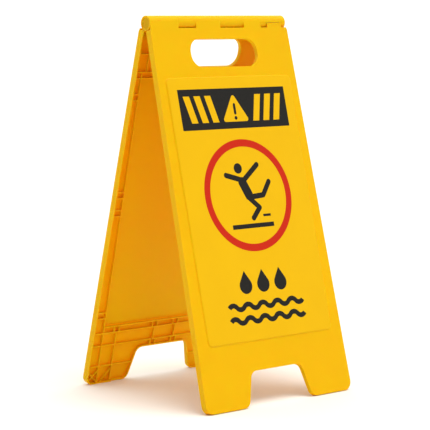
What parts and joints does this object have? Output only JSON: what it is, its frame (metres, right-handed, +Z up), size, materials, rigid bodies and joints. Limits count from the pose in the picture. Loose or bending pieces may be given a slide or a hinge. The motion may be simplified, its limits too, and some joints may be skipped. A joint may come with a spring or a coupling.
{
  "type": "folding floor sign",
  "caption": "Folding A-frame floor sign: ribbed moulded panels on a rolled top hinge, with a hand slot, arched feet and printed warning film.",
  "frame": {"origin": "on the floor, straight below the hinge line, at the middle of the sign's width", "axes": "+X along the hinge line, -Y out of the front panel, +Z up"},
  "size_m": [0.3114, 0.3268, 0.6145],
  "materials": {
    "moulded_yellow": "satin moulded polypropylene",
    "cap_yellow": "satin moulded polypropylene",
    "film_yellow": "satin vinyl film",
    "print_black": "satin print",
    "print_red": "satin print",
    "rod_steel": "drawn"
  },
  "bodies": {
    "front": {"front_panel": "moulded_yellow", "hinge_rod": "rod_steel", "left_rod_cap": "cap_yellow", "front_film": "film_yellow", "front_banner_print": "print_black", "front_ring_print": "print_red", "front_figure_print": "print_black", "front_floor_line_print": "print_black", "front_drops_print": "print_black", "front_waves_print": "print_black"},
    "rear": {"rear_panel": "moulded_yellow", "right_rod_cap": "cap_yellow", "rear_film": "film_yellow", "rear_banner_print": "print_black", "rear_ring_print": "print_red", "rear_figure_print": "print_black", "rear_floor_line_print": "print_black", "rear_drops_print": "print_black", "rear_waves_print": "print_black"}
  },
  "joints": [
    {"name": "panel_fold", "type": "hinge", "parent": "front", "child": "rear", "pos_m": [0, 0, 0.60252], "axis": [1, 0, 0], "range_deg": [-28.2, 0]}
  ]
}
